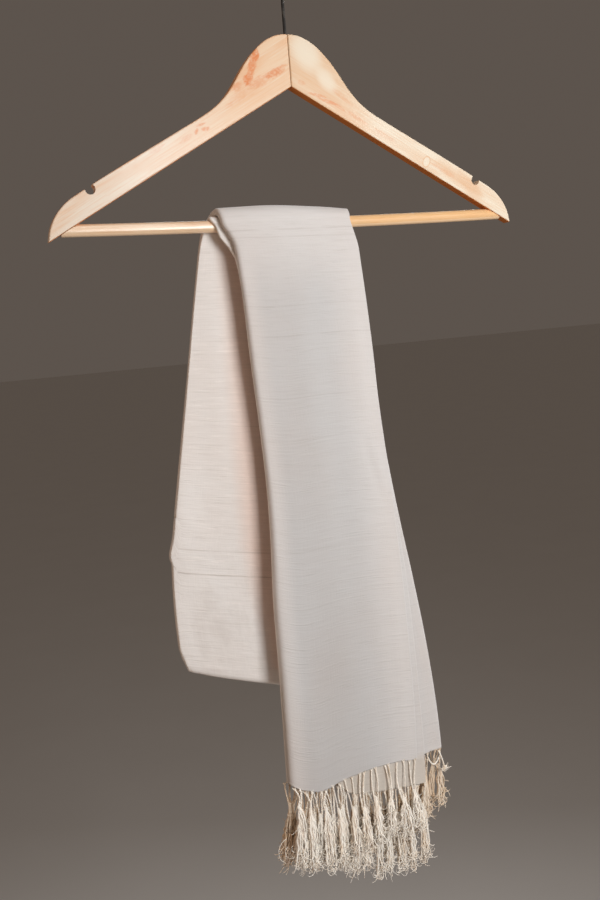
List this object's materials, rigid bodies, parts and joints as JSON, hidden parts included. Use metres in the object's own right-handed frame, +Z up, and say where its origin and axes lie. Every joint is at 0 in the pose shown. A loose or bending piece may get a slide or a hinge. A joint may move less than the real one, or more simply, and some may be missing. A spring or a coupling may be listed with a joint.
{
  "type": "fringed eri silk shawl hung folded over the trouser bar of a wooden hanger",
  "caption": "A cream eri silk shawl with twisted fringe tassels, folded lengthwise and doubled, hung over the bar of a plain pine coat hanger with a dark wire hook.",
  "frame": {"origin": "Inside top of the hanger's hook, where it rests on its rail", "axes": "+Z up, the trouser bar runs along X, the fringed ends of the shawl hang in front at -Y and its cross fold behind at +Y"},
  "size_m": [0.4446, 0.0487, 0.885],
  "materials": {
    "pine": "clear-lacquered pale pine with faint orange grain",
    "bar_pine": "turned pine, clear-lacquered",
    "dark_wire": "blackened steel wire",
    "eri_silk": "slubby handwoven eri silk with a soft sheen",
    "silk_thread": "twisted raw silk ends, frayed at the tips"
  },
  "bodies": {
    "root": {"arm_left": "pine", "arm_right": "pine", "trouser_bar": "bar_pine", "hook": "dark_wire", "crest_inner_folds": "eri_silk", "crest_outer_folds": "eri_silk", "front_first_fold": "eri_silk", "front_second_fold": "eri_silk", "front_third_fold": "eri_silk", "front_inner_folds": "eri_silk", "back_fall": "eri_silk", "fringe_first": "silk_thread", "fringe_second": "silk_thread", "fringe_third": "silk_thread", "fringe_inner": "silk_thread"}
  },
  "joints": []
}
